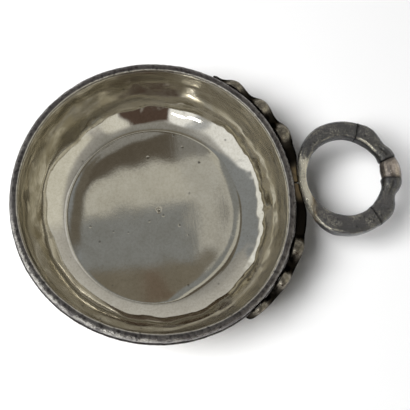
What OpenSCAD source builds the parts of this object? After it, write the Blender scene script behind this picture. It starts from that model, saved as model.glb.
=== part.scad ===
// Wine taster's cup: a shallow raised bowl with a moulded rim and a level ring handle.
// The ring is a pair of serpents that hold a ball between their mouths.
// Their tails wind along the outside of the wall, just under the rim.
// The origin is the middle of the base, +Z is up and +X points along the handle.

/* [Bowl] */
// Inside diameter of the mouth
mouth_d = 74.4; // [64:0.2:90]
// Height from the table to the top of the rim
bowl_h = 25; // [22:0.5:32]
// Thickness of the raised sheet
sheet_t = 1.2; // [0.8:0.1:1.6]
// Inside radius of the cove between floor and wall
cove_r = 16.7; // [12:0.1:18]
// Slope of the cove where it leaves the floor, in degrees
crease_a = 22; // [12:1:32]
// Lean of the upper wall, in degrees, where a negative lean draws the mouth in
wall_lean = -3; // [-6:0.5:4]
// Width of the raising mark punched in the floor
punch_d = 0.9; // [0.6:0.1:1.6]
// Distance of the raising mark from the middle of the floor
punch_off = 1.6; // [0:0.1:4]

/* [Rim] */
// Width of the rim seen from above
rim_w = 2.8; // [2.5:0.1:3.6]
// Radius of the roll along the outer edge
roll_r = 1.5; // [1.2:0.1:1.8]
// Metal between the lip of the bowl and the top of the rim
rim_cap = 1.3; // [0.8:0.1:2]
// Radius of the bead under the roll
bead_r = 0.6; // [0.45:0.05:0.7]
// Set-back of the roll behind the face of the bead
roll_in = 0.45; // [0.2:0.05:0.7]
// Depth of the quirk between roll and bead, from the face of the bead
quirk_d = 0.9; // [0.7:0.05:1.1]
// Height by which the bead tucks up under the roll
bead_lap = 0.25; // [0.15:0.05:0.4]

/* [Ring] */
// Finger hole measured outwards from the wall
hole_out = 22.1; // [18:0.1:24]
// Finger hole measured across
hole_across = 23; // [19:0.2:28]
// Drop of the ring's middle plane below the top of the rim
ring_drop = 7; // [6:0.5:9]
// Thickness of the limb beside the wall
limb_w = 2.5; // [2.2:0.1:3.2]
// Width of the upper arm where it meets its head
upper_arm_w = 4.9; // [3.8:0.1:5.6]
// Width of the lower arm where it meets its head
lower_arm_w = 5.7; // [3.8:0.1:5.6]
// Height of the arms where they meet the heads
arm_h = 4.9; // [3.8:0.1:5.4]
// Angle round the ring over which the limb thickens into the arms
grow_a = 66; // [40:1:90]
// Squareness of the arms' section, where 2 is round
arm_square = 3.8; // [2:0.1:5]
// Turn of the ring about its own middle, in degrees
turn_a = 1.6; // [-8:0.1:8]
// Angle round the ring of the seam between upper arm and limb
seam_a = 174; // [166:1:180]
// Angle round the ring of the scarf between limb and lower arm
scarf_a = 213; // [206:1:222]
// Slant of the scarf across the limb, in degrees round the ring
slant_a = 7; // [0:1:9]

/* [Heads] */
// Angle from the ball to the back edge of each head
head_a = 64; // [54:1:72]
// Slant of each head's back edge, in degrees round the ring
neck_slant_a = 1.2; // [0:0.2:3]
// Step of the head's back edge over the arm
collar_step = 0.1; // [0.05:0.05:0.4]
// Swell of the jaws over the head's back edge
jaw_swell = 0.15; // [0:0.05:0.6]
// Width of the snout behind the lips
snout_w = 4.3; // [3.8:0.1:5]
// Thickness of the lips round the ball
lip_t = 0.25; // [0.2:0.05:0.5]
// Height of the snout as a share of its width
head_flat = 0.9; // [0.76:0.02:1]
// Depth of the furrow along the snout
furrow_d = 0.4; // [0:0.05:0.7]
// Diameter of the ball held in the mouths
ball_d = 6; // [5.6:0.1:6.6]
// Length of the ball that shows between the lips
ball_show = 5.9; // [5:0.1:6.4]
// Distance of the ball's middle from the edge of the finger hole
ball_line = 2.65; // [2.4:0.05:3]
// Distance of the ball's fullest part from its middle, towards the lower mouth
ball_lean = 0.6; // [0:0.1:0.8]
// Radius of the swelling along the ball's side
swell_r = 9.7; // [8.5:0.1:14]
// Depth of the seat inside each mouth
seat_d = 0.5; // [0.3:0.1:0.8]

/* [Tails] */
// Reach of the tails out from the wall at their first crest
tail_t = 4.5; // [3.8:0.1:5]
// Thickness of the tails where they pass behind the limb
root_t = 2.65; // [2.2:0.05:3.4]
// Reach of the tails out from the wall just before the tip
tip_t = 2.7; // [2.4:0.1:3.2]
// Height of the tails' section at the first crest
tail_h = 3.3; // [2.6:0.1:3.8]
// Height of the tails' section just before the tip
tip_h = 2; // [1.4:0.1:2.6]
// Depth of the crests' tops below the top of the rim
crest_drop = 1.4; // [0.8:0.1:3]
// Height of the waves from valley to crest
wave_h = 3.5; // [2:0.1:4.2]
// Angle round the bowl from crest to crest
wave_a = 13.6; // [11:0.1:15]
// Angle of the first crest of the upper tail
upper_crest_a = 20.4; // [18:0.2:24]
// Angle of the first crest of the lower tail
lower_crest_a = 27; // [24:0.2:31]
// Angle where the upper tail ends
upper_end_a = 57.6; // [55:0.2:61]
// Angle where the lower tail ends
lower_end_a = 60.4; // [57:0.2:64]

/* [Fits] */
// Solder film between pieces that lie against each other
solder = 0.05; // [0.02:0.01:0.1]
// Clearance between the tails and the underside of the rim
rim_gap = 0.15; // [0.1:0.05:0.4]
// Distance between the roots of the two tails
root_gap = 0.6; // [0.3:0.1:1.5]

/* [Hidden] */
$fn = 96;

silver = [0.74, 0.72, 0.67];
worn_silver = [0.5, 0.49, 0.47];
dark_silver = [0.33, 0.33, 0.34];
eps = 0.01;

// The bowl's inside line is a flat floor, an arc and a straight leaning wall.
mouth_r = mouth_d / 2;
lip_z = bowl_h - rim_cap;
steep = 90 - wall_lean;
cove_run = cove_r * (sin(steep) - sin(crease_a));
cove_rise = cove_r * (cos(crease_a) - cos(steep));
floor_r = mouth_r - cove_run - (lip_z - sheet_t - cove_rise) * tan(wall_lean);
cove_x = floor_r - cove_r * sin(crease_a);
cove_z = sheet_t + cove_r * cos(crease_a);
cove_out = cove_r + sheet_t;
base_r = cove_x + sqrt(cove_out * cove_out - cove_z * cove_z);
lip_out_r = mouth_r + sheet_t / cos(wall_lean);

// The rim is a flat-topped roll with a bead below it, cut to sit over the lip.
rim_r = mouth_r + rim_w;
roll_x = rim_r - roll_in - roll_r;
bead_x = rim_r - bead_r;
bead_z = bowl_h - 2 * roll_r + bead_lap - bead_r;
rim_low = bead_z - bead_r;

// The ring lies level, and its limb rests against the roots of both tails.
hole_a = hole_out / 2;
hole_b = hole_across / 2;
ring_z = bowl_h - ring_drop;
wall_r = wall_out_r(ring_z);
ring_x = wall_r + solder + root_t + solder + limb_w + hole_a;
neck_up = turn_a + head_a;
neck_low = turn_a - head_a + 360;

// The ball lies along the ring, and the mouths' planes stand square to the ring on either side.
ball_c = ring_pt(turn_a, ball_line, 0);
ball_half = ball_show / 2;
lip_turn = asin(ball_half / (hole_b + ball_line));

// Growth of the tails' reach beside the ring, for each square degree round the bowl.
// The room there widens with the curve of the wall and the curve of the ring.
curve_r = hole_b * hole_b / hole_a + limb_w;
hug = 0.76 * pow(wall_r * PI / 180, 2) / 2 * (1 / wall_r + 1 / curve_r);

arm_sides = 20;
arm_step_a = 4;
head_sides = 28;
head_rings = 30;
tail_sides = 16;
tail_step_a = 0.9;
tip_rings = 5;
// Room for the flats between the points of a tail's section
flat_room = 0.25;

function mix(a, b, t) = a + (b - a) * t;
function ease(t) = let (c = min(max(t, 0), 1)) c * c * (3 - 2 * c);
function power(v, e) = sign(v) * pow(abs(v), e);
function polar(r, a, z) = [r * cos(a), r * sin(a), z];

// Radius of the ball's end where the lips on one side grip it
function grip_r(side) =
    ball_d / 2 - swell_r + sqrt(pow(swell_r, 2) - pow(side * ball_half + ball_lean, 2));

// Radius of the dome on the ball's end, which spans the grip and is as high as the seat is deep
function dome_r(side) = (pow(grip_r(side), 2) + pow(seat_d, 2)) / (2 * seat_d);

// Centre of that dome, behind the middle of the mouth
function dome_c(side) =
    let (a = turn_a + side * lip_turn)
    ring_pt(a, ball_line, 0) + side * ring_way(a) * (seat_d - dome_r(side));

// Outside radius of the wall at height z
function wall_out_r(z) =
    let (arc_top = cove_z - cove_out * cos(steep))
    z > arc_top
    ? lip_out_r - (lip_z - z) * tan(wall_lean)
    : cove_x + sqrt(cove_out * cove_out - pow(cove_z - z, 2));

// Point of the ring at angle a, at a distance out from the edge of the finger hole
function ring_pt(a, out, up) =
    let (
        normal = [cos(a) / hole_a, sin(a) / hole_b],
        n = normal / norm(normal)
    )
    [ring_x + hole_a * cos(a) + n.x * out, hole_b * sin(a) + n.y * out, ring_z + up];

// Direction straight out from the ring, and the direction along it
function ring_out(a) = ring_pt(a, 1, 0) - ring_pt(a, 0, 0);
function ring_way(a) = let (out = ring_out(a)) [-out.y, out.x, 0];

// Rounded section of width w and height h, with one side on the edge of the hole
function ring_section(a, w, h, square, sides, slant = 0) =
    let (
        inner = ring_pt(a - slant, 0, 0),
        outer = ring_pt(a + slant, w, 0)
    )
    [for (k = [0 : sides - 1])
        let (
            t = 360 * k / sides,
            across = power(cos(t), 2 / square),
            up = power(sin(t), 2 / square)
        )
        mix(inner, outer, (1 + across) / 2) + [0, 0, h / 2 * up]];

// Width that the arm on the side of angle a grows to
function arm_w(a) = a < 180 ? upper_arm_w : lower_arm_w;

// Growth of the arms from the limb by the wall, 0, to the heads, 1
function arm_grow(a) =
    let (away = abs(180 - a))
    ease((away - 6) / grow_a);

// Section of the arms and the limb at angle a
function arm_section(a, slant = 0) =
    let (g = arm_grow(a))
    ring_section(a, mix(limb_w, arm_w(a), g), mix(limb_w, arm_h, g),
                 mix(2.1, arm_square, g), arm_sides, slant);

// Sections from angle a0 to a1, where the slants lean the two ends
function arm_run(a0, a1, slant0 = 0, slant1 = 0) =
    let (count = ceil(abs(a1 - a0) / arm_step_a))
    [for (i = [0 : count])
        let (
            t = i / count,
            lean = slant0 * pow(1 - t, 3) + slant1 * pow(t, 3)
        )
        arm_section(mix(a0, a1, t), lean)];

// Width along a head from its back edge, 0, over jaws and snout to the lips, 1
function head_width(s, back, lips) =
    s < 0.26
    ? mix(back, back + jaw_swell, ease(s / 0.26))
    : s < 0.66
    ? mix(back + jaw_swell, snout_w, ease((s - 0.26) / 0.4))
    : mix(snout_w, lips, ease((s - 0.66) / 0.3));

// Section of a head at share s of its length, with a furrow above and below the snout.
// The snout moves over until the lips stand round the ball's line.
function head_section(side, a, s, back_w) =
    let (
        w = head_width(s, back_w, 2 * (grip_r(side) + lip_t)),
        flat = mix(head_flat, 1, ease((s - 0.66) / 0.3)),
        h = mix(arm_h + 2 * collar_step, w * flat, ease(s / 0.7)),
        square = mix(arm_square, 2.2, ease(s / 0.9)),
        cut = furrow_d * ease((s - 0.5) / 0.3) * (1 - ease((s - 0.88) / 0.1)),
        slant = side * neck_slant_a * (1 - ease(s / 0.5)),
        over = (ball_line - w / 2) * ease((s - 0.6) / 0.36),
        inner = ring_pt(a - slant, over, 0),
        outer = ring_pt(a + slant, over + w - 2 * collar_step * (1 - s), 0),
        step = collar_step * (1 - s) / norm(outer - inner)
    )
    [for (k = [0 : head_sides - 1])
        let (
            t = 360 * k / head_sides,
            across = power(cos(t), 2 / square),
            up = power(sin(t), 2 / square),
            groove = cut * exp(-pow(across / 0.3, 2)) * sign(up)
        )
        mix(inner, outer, mix(-step, 1 + step, (1 + across) / 2)) + [0, 0, h / 2 * up - groove]];

// Circle on the seat of the ball's domed end, at an angle from the line along the ring
function cup_circle(side, angle) =
    let (
        a = turn_a + side * lip_turn,
        r = dome_r(side) + solder,
        centre = dome_c(side) + side * ring_way(a) * r * cos(angle)
    )
    [for (k = [0 : head_sides - 1])
        let (t = 360 * k / head_sides)
        centre + r * sin(angle) * (ring_out(a) * cos(t) + [0, 0, sin(t)])];

// A head runs from the back edge to the lips and then follows the ball's seat inwards.
function head_run(side) =
    let (
        a0 = turn_a + side * head_a,
        a1 = turn_a + side * lip_turn,
        back_w = (side > 0 ? upper_arm_w : lower_arm_w) + 2 * collar_step,
        rim_angle = asin(grip_r(side) / dome_r(side)),
        rings = concat(
            [for (i = [0 : head_rings])
                head_section(side, mix(a0, a1, i / head_rings), i / head_rings, back_w)],
            [for (f = [1, 0.75, 0.5, 0.25, 0.08]) cup_circle(side, rim_angle * f)])
    )
    side < 0 ? rings : [for (i = [len(rings) - 1 : -1 : 0]) rings[i]];

// Share of the way from root, 0, to first crest, 1, and then to the tip, 2
function tail_share(a, crest_a, end_a) =
    a < crest_a
    ? ease((a - 4) / (crest_a - 6))
    : 1 + (a - crest_a) / (end_a - crest_a);

// Size of a tail along its length, from its sizes at root, crest and tip
function tail_size(share, root, crest, tip) =
    share < 1
    ? mix(root, crest, share)
    : mix(crest, tip, pow(share - 1, 1.2));

// Reach of a tail out from the wall: it fills the room beside the ring up to its full size.
function tail_reach(a, crest_a, end_a) =
    let (
        more = tail_t - root_t,
        fill = hug * a * a / more
    )
    a < crest_a
    ? root_t + more * fill / pow(1 + pow(fill, 4), 0.25)
    : tail_size(tail_share(a, crest_a, end_a), root_t, tail_t, tip_t);

// Height of a tail's middle at angle a: level at the root, then in waves
function tail_z(a, crest_a, end_a) =
    let (
        valley_a = crest_a - wave_a / 2,
        h = tail_size(tail_share(a, crest_a, end_a), tail_h, tail_h, tip_h),
        crest_z = bowl_h - crest_drop - h / 2,
        dip = wave_h * (1 - cos(360 * (a - crest_a) / wave_a)) / 2
    )
    a < valley_a
    ? mix(ring_z, crest_z - wave_h, ease((a - 4) / (valley_a - 4)))
    : crest_z - dip;

// Radius that the inner side of the tails keeps to: the wall, and the bead where they rise
function fit_r(z) =
    solder + max(wall_out_r(z), min(rim_r, rim_r - 1.3 * (rim_low - rim_gap - flat_room - z)));

// Upright section of a tail, fitted to wall and rim, taller where the wave is steep
function tail_section(side, a, crest_a, end_a, shrink = 1) =
    let (
        share = tail_share(a, crest_a, end_a),
        t = tail_reach(a, crest_a, end_a),
        z = tail_z(a, crest_a, end_a),
        out_r = wall_r + solder + t,
        slope = (tail_z(a + 0.1, crest_a, end_a) - z) / (out_r * 0.1 * PI / 180),
        h = tail_size(share, tail_h, tail_h, tip_h) * pow(1 + slope * slope, 0.3),
        mid_r = (fit_r(z) + out_r) / 2
    )
    [for (k = [0 : tail_sides - 1])
        let (
            b = side * 360 * k / tail_sides,
            up = h / 2 * power(sin(b), 0.9),
            r = max(out_r - t / 2 * (1 - power(cos(b), 0.9)), fit_r(z + up))
        )
        polar(mix(mid_r, r, shrink), side * a, z + shrink * up)];

// A tail starts beside the middle of the limb and ends in a rounded tip.
function tail_run(side, crest_a, end_a) =
    let (
        a0 = root_gap / 2 / wall_r * 180 / PI,
        tip_a = tip_t / 2 / rim_r * 180 / PI,
        count = ceil((end_a - tip_a - a0) / tail_step_a)
    )
    concat(
        [for (i = [0 : count])
            tail_section(side, mix(a0, end_a - tip_a, i / count), crest_a, end_a)],
        [for (i = [1 : tip_rings])
            let (b = 84 * i / tip_rings)
            tail_section(side, end_a - tip_a * (1 - sin(b)), crest_a, end_a, cos(b))]);

// Solid through a row of closed sections with the same number of points each.
// The row runs the way that the sections face when their points turn clockwise.
module loft(rings) {
    n = len(rings[0]);
    last = (len(rings) - 1) * n;
    sides = [for (i = [0 : len(rings) - 2], j = [0 : n - 1])
        let (
            p = i * n + j,
            q = i * n + (j + 1) % n
        )
        each [[p, q, p + n], [q, q + n, p + n]]];
    start = [[for (j = [n - 1 : -1 : 0]) j]];
    end = [[for (j = [0 : n - 1]) last + j]];
    polyhedron([for (r = rings) each r], concat(start, sides, end), convexity = 6);
}

// Half section of the bowl: floor, cove and wall
module bowl_profile() {
    reach = 2 * cove_out;
    cove_mid = (cove_r + cove_out) / 2;
    square([base_r, sheet_t]);
    intersection() {
        translate([cove_x, cove_z])
            difference() {
                circle(cove_out);
                circle(cove_r);
            }
        polygon([
            [cove_x, cove_z],
            [floor_r, sheet_t],
            [floor_r, 0],
            [cove_x + reach, 0],
            [cove_x + reach * sin(steep), cove_z - reach * cos(steep)]
        ]);
    }
    polygon([
        [cove_x + cove_r * sin(steep), cove_z - cove_r * cos(steep)],
        [cove_x + cove_mid * sin(steep - 2), cove_z - cove_mid * cos(steep - 2)],
        [cove_x + cove_out * sin(steep), cove_z - cove_out * cos(steep)],
        [lip_out_r, lip_z],
        [mouth_r, lip_z]
    ]);
}

// Half section of the rim: flat top, roll, quirk and bead
module rim_profile() {
    difference() {
        union() {
            translate([mouth_r, bead_z])
                square([rim_w - quirk_d, bowl_h - roll_r - bead_z]);
            translate([mouth_r, bowl_h - 2 * roll_r])
                square([roll_x - mouth_r, 2 * roll_r]);
            translate([roll_x, bowl_h - roll_r])
                circle(roll_r);
            translate([bead_x, bead_z])
                circle(bead_r);
        }
        bowl_profile();
        square([mouth_r + sheet_t / 2, lip_z]);
    }
}

// Raised sheet bowl with the raising mark in its floor
module bowl() {
    color(silver)
        difference() {
            rotate_extrude()
                bowl_profile();
            rotate([0, 0, 45])
                translate([punch_off, 0, sheet_t - punch_d / 4])
                    cylinder(h = punch_d / 2, d1 = eps, d2 = 2 * punch_d);
        }
}

// Moulded wire fitted over the lip
module rim_wire() {
    color(worn_silver)
        rotate_extrude()
            rim_profile();
}

// Serpent's body from the upper head round to the wall
module upper_arm() {
    color(dark_silver)
        loft(arm_run(neck_up, seam_a, neck_slant_a, 0));
}

// Limb along the wall, soldered to the roots of the tails
module wall_limb() {
    color(silver)
        loft(arm_run(seam_a, scarf_a, 0, slant_a));
}

// Serpent's body from the scarf at the wall to the lower head
module lower_arm() {
    color(dark_silver)
        loft(arm_run(scarf_a, neck_low, slant_a, -neck_slant_a));
}

// Head above the ball
module upper_head() {
    color(dark_silver)
        loft(head_run(1));
}

// Head below the ball
module lower_head() {
    color(dark_silver)
        loft(head_run(-1));
}

// Half section of the barrel that the ball is cut from
module barrel_profile() {
    intersection() {
        translate([ball_d / 2 - swell_r, -ball_lean])
            circle(swell_r);
        translate([0, -ball_show])
            square([ball_d, 2 * ball_show]);
    }
}

// Ball held in both mouths: a barrel with a domed end for each mouth
module ball() {
    color(worn_silver)
        intersection() {
            translate(ball_c)
                rotate([-90, 0, atan2(ring_out(turn_a).y, ring_out(turn_a).x)])
                    rotate_extrude()
                        barrel_profile();
            translate(dome_c(1))
                sphere(dome_r(1));
            translate(dome_c(-1))
                sphere(dome_r(-1));
        }
}

// Tail that winds away on the +Y side
module upper_tail() {
    color(worn_silver)
        loft(tail_run(1, upper_crest_a, upper_end_a));
}

// Tail that winds away on the -Y side
module lower_tail() {
    color(worn_silver)
        loft(tail_run(-1, lower_crest_a, lower_end_a));
}

bowl();
rim_wire();
upper_arm();
wall_limb();
lower_arm();
upper_head();
lower_head();
ball();
upper_tail();
lower_tail();
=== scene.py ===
# %% [markdown]
# # A silver tastevin with a serpent ring
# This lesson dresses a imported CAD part: a wine taster's cup of raised silver, with a moulded rim
# and a level ring handle made of two serpents. The solids give every place and size. Here each
# piece is made again as a finer skin, with the marks of hand work that a plain solid lacks.

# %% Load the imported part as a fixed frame
import math

import bpy
import numpy as np
from mathutils import Matrix, Vector


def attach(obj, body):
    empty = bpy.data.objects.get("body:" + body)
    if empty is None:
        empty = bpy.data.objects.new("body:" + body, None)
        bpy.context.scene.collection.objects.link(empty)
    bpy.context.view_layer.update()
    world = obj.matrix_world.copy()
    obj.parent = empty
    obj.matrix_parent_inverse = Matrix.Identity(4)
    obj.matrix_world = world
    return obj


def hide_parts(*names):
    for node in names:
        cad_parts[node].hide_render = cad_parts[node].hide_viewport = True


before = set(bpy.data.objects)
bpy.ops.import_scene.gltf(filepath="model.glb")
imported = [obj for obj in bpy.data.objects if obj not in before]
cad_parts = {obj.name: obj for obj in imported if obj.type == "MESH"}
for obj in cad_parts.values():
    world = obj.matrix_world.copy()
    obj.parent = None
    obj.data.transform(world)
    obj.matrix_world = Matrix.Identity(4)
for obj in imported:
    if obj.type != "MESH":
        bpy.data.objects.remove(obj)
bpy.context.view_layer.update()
MM = 0.001
print("nodes:", ", ".join(sorted(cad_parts)))

# %% [markdown]
# ## Skins from grids of points
# Almost every piece of the cup is a closed section carried along a path: a profile spun round the
# bowl, or an oval drawn along the ring. Such a skin is a grid of points, so one function can turn
# any grid into a mesh. It works on whole arrays: the corner numbers of all faces come from one
# table of indices that is shifted by one step along the row and by one step round the section.


# %% A mesh from rows of closed sections
def face_tables(rows, around, closed_rows):
    """Quads between neighbouring sections: corner (i, j), (i, j+1), (i+1, j+1), (i+1, j)."""
    index = np.arange(rows * around).reshape(rows, around)
    here = index if closed_rows else index[:-1]
    ahead = np.roll(index, -1, 0) if closed_rows else index[1:]
    quads = [here, np.roll(here, -1, 1), np.roll(ahead, -1, 1), ahead]
    return index, np.stack(quads, -1).reshape(-1, 4)


def skin(name, points, closed_rows=False, marks=None):
    """Closed mesh through a grid of points of shape (sections, round, 3), in millimetres.

    Open rows are closed at both ends by a fan to the middle of the end section. The signed volume,
    a sixth of the sum of all corner products, tells whether the faces have to be turned round.
    """
    rows, around = points.shape[:2]
    index, quads = face_tables(rows, around, closed_rows)
    verts = points.reshape(-1, 3)
    fans = np.zeros((0, 3), int)
    if not closed_rows:
        verts = np.vstack([verts, points[0].mean(0), points[-1].mean(0)])
        first, last = index[0], index[-1]
        near = np.stack([np.full(around, len(verts) - 2), np.roll(first, -1), first], -1)
        far = np.stack([np.full(around, len(verts) - 1), last, np.roll(last, -1)], -1)
        fans = np.vstack([near, far])
    tris = np.vstack([quads[:, [0, 1, 2]], quads[:, [0, 2, 3]], fans])
    a, b, c = (verts[tris[:, k]] for k in range(3))
    if np.einsum("ij,ij->i", a, np.cross(b, c)).sum() < 0:
        quads, fans = quads[:, ::-1], fans[:, ::-1]
    mesh = bpy.data.meshes.new(name)
    mesh.from_pydata((verts * MM).tolist(), [], quads.tolist() + fans.tolist())
    mesh.polygons.foreach_set("use_smooth", np.ones(len(mesh.polygons), bool))
    for mark, values in (marks or {}).items():
        flat = values.reshape(-1)
        ends = [] if closed_rows else [values[0].mean(), values[-1].mean()]
        layer = mesh.attributes.new(mark, "FLOAT", "POINT")
        layer.data.foreach_set("value", np.concatenate([flat, ends]).astype(np.float32))
    mesh.update()
    piece = bpy.data.objects.new(name, mesh)
    bpy.context.scene.collection.objects.link(piece)
    print(f"{name}: {len(tris)} triangles")
    return piece


def stand_for(piece, node, material):
    """Put a piece in the place of its CAD node, on the cup's one body, with its finish."""
    piece.data.materials.append(material)
    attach(piece, "root")
    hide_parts(node)


# %% [markdown]
# ## Marks of the hand
# A raised bowl is never quite true. Three kinds of unevenness are enough here: long waves, which
# are sums of cosines in fixed but random directions, the shallow dishes that a planishing hammer
# leaves, and small pits. All three are functions of the place in space, so they run on across
# seams and edges without a join.


# %% Waves, hammer dishes, pits and bells
def smooth(x, low, high):
    """Ramp from 0 at low to 1 at high that starts and ends level: 3t^2 - 2t^3."""
    t = np.clip((np.asarray(x, float) - low) / (high - low), 0, 1)
    return t * t * (3 - 2 * t)


def waves(places, length, seed, count=18):
    """Mean of cosines of about one wave length in random directions, about -1 to 1."""
    rng = np.random.default_rng(seed)
    ways = rng.normal(size=(count, 3))
    ways /= np.linalg.norm(ways, axis=1, keepdims=True)
    pace = 2 * np.pi / (length * rng.uniform(0.7, 1.5, count))
    phase = rng.uniform(0, 2 * np.pi, count)
    return np.cos((places @ ways.T) * pace + phase).sum(-1) / np.sqrt(count)


def dishes(places, blows, depth):
    """Hammered ground: the lower of all blows' paraboloids, depth times (distance / reach)^2."""
    centres, reach = blows
    low = np.full(places.shape[:-1], np.inf)
    for centre in centres:
        low = np.minimum(low, ((places - centre) ** 2).sum(-1))
    return depth * np.minimum(low / reach ** 2, 1.6)


def pits(places, centres, radii):
    """Share of pitting: the largest of the bells exp(-(distance / radius)^2)."""
    most = np.zeros(places.shape[:-1])
    for centre, radius in zip(centres, radii):
        most = np.maximum(most, np.exp(-((places - centre) ** 2).sum(-1) / radius ** 2))
    return most


def bell(x, width):
    """Bell of height 1: exp(-(x / width)^2)."""
    return np.exp(-(x / width) ** 2)


def facing(angles, side):
    """Cosine of the turn away from a side, in degrees round from the ring; 0 on the far half."""
    return np.maximum(np.cos(angles - np.radians(side)), 0)


def out_of_round(angle):
    """Hand-made mouth: two, three and four long waves round the rim, in mm out from a circle."""
    return (0.49 * np.cos(2 * (angle + np.radians(51))) + 0.24 * np.cos(3 * (angle + np.radians(57.4)))
            + 0.15 * np.cos(4 * (angle - np.radians(37))) - 0.12)


print("mouth out of round by", np.round(np.ptp(out_of_round(np.linspace(0, 7, 500))), 2), "mm")

# %% [markdown]
# ## The bowl's section
# The silversmith raises the bowl from a disc: the floor stays flat, a stake gives the cove, and
# the last courses draw the wall in a little towards the mouth. So the section is a straight, an
# arc and a straight, inside and out, one sheet apart. A fine polyline of that section is softened
# along its length, which rounds the crease, and is then read off at the spacing that is needed.

# %% Sizes of the bowl and its softened section
MOUTH_R, LIP_Z, TOP_Z, SHEET = 37.2, 23.7, 25.0, 1.2
COVE_R, CREASE, STEEP = 16.7, np.radians(22), np.radians(93)
LEAN = np.tan(STEEP - np.pi / 2)
COVE_RISE = COVE_R * (np.cos(CREASE) - np.cos(STEEP))
FLOOR_R = MOUTH_R - COVE_R * (np.sin(STEEP) - np.sin(CREASE)) + (LIP_Z - SHEET - COVE_RISE) * LEAN
COVE_X = FLOOR_R - COVE_R * np.sin(CREASE)
COVE_Z = SHEET + COVE_R * np.cos(CREASE)
OUT_R = COVE_R + SHEET
BASE_R = COVE_X + math.sqrt(OUT_R ** 2 - COVE_Z ** 2)
LIP_OUT_R = MOUTH_R + SHEET / np.cos(LEAN)


def soften(line, spread, closed=False, step=0.05):
    """Polyline read off at even steps and averaged by a bell of the given spread along its length."""
    line = np.vstack([line, line[:1]]) if closed else line
    run = np.concatenate([[0], np.cumsum(np.linalg.norm(np.diff(line, axis=0), axis=1))])
    even = np.linspace(0, run[-1], int(run[-1] / step))
    fine = np.stack([np.interp(even, run, line[:, k]) for k in (0, 1)], -1)
    half = int(4 * spread / step)
    weights = np.exp(-0.5 * (np.arange(-half, half + 1) * step / spread) ** 2)
    if closed:
        padded = np.pad(fine[:-1], ((half, half), (0, 0)), "wrap")
    else:
        padded = np.pad(fine, ((half, half), (0, 0)), "reflect", reflect_type="odd")
    soft = [np.convolve(padded[:, k], weights / weights.sum(), "valid") for k in (0, 1)]
    return np.stack(soft, -1)


def read_off(line, shares):
    """Points of an even polyline at the given shares of its length."""
    at = np.linspace(0, 1, len(line))
    return np.stack([np.interp(shares, at, line[:, k]) for k in (0, 1)], -1)


def arc(centre, radius, start, end, count=60):
    """Arc in the section plane; angles run from straight down towards the outside."""
    t = np.linspace(start, end, count)
    return np.stack([centre[0] + radius * np.sin(t), centre[1] - radius * np.cos(t)], -1)


inside = np.vstack([[[0, SHEET]], arc((COVE_X, COVE_Z), COVE_R, CREASE, STEEP), [[MOUTH_R, LIP_Z]]])
foot = math.acos(COVE_Z / OUT_R)
outside = np.vstack([[[LIP_OUT_R, LIP_Z]], arc((COVE_X, COVE_Z), OUT_R, STEEP, foot), [[0, 0]]])
crisp, mellow, outside = soften(inside, 0.3), soften(inside, 2.4), soften(outside, 0.3)
print("floor", round(FLOOR_R, 2), "mm, base", round(BASE_R, 2), "mm in radius")

# %% [markdown]
# ## The bowl
# The section is spun round the axis, inside and out. On the inside two softened sections are mixed:
# the crease at the floor is crisp, but on the ring's side it is worn away. First come helpers that
# spin a section, its normals and the places of hammer blows.


# %% Spin the two faces of the bowl
def spin(section, angles):
    """Places (r cos a, r sin a, z) for every point of a section and every angle."""
    r, z = section[:, :1], section[:, 1:]
    return np.stack([r * np.cos(angles), r * np.sin(angles), z + 0 * angles], -1)


def spun_normal(section, angles):
    """Normals of a spun section, square to its line and pointing to the left of its run."""
    way = np.gradient(section, axis=0)
    way /= np.linalg.norm(way, axis=1, keepdims=True)
    return spin(np.stack([-way[:, 1], way[:, 0]], -1), angles)


def blows_on(section, seed, count=260):
    """Random places of hammer blows on a spun section."""
    rng = np.random.default_rng(seed)
    rows = rng.integers(0, len(section), count)
    turn = rng.uniform(0, 2 * np.pi, count)
    r = section[rows, 0]
    return np.stack([r * np.cos(turn), r * np.sin(turn), section[rows, 1]], -1)


AROUND, WORN_SIDE = 480, -24
inner_share = np.concatenate([np.linspace(0.004, 0.05, 14), np.linspace(0.058, 1, 150)])
inner = read_off(crisp, inner_share)
outer = read_off(outside, np.linspace(0, 0.995, 38))
turns = np.linspace(0, 2 * np.pi, AROUND, endpoint=False)
worn = smooth(facing(turns, WORN_SIDE), 0.24, 0.82)
crisp_places, mellow_places = spin(inner, turns), spin(read_off(mellow, inner_share), turns)
in_places = crisp_places + (mellow_places - crisp_places) * worn[:, None]
out_places = spin(outer, turns)
print("bowl:", len(inner), "rows inside and", len(outer), "outside, each of", AROUND, "points")

# %% [markdown]
# ## Hammer work
# The inside gets long swells and hammer dishes along its own normal. They are strongest in the cove,
# finer beside the ring and calmer in front on the left, and they fade out on the floor and at the
# lip. The cove is sunk as well, where the smith thinned it on the stake, and so is the floor's edge
# on the far left. One deep blow is left in the cove opposite the ring. The outside is planished,
# so its dishes are shallow.

# %% Unevenness of both faces
RING_SIDE, CALM_SIDE, FULL_SIDE, SUNK_SIDE = 0, 226, 216, 138
HAMMER_R, CALM, LIP_CALM = 5.0, 0.6, 0.6
BLOW_SIDE, BLOW_R, BLOW_Z, BLOW_LONG, BLOW_TALL, BLOW_DEEP = 155, 34, 6.0, 6.0, 1.6, 0.3


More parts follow.
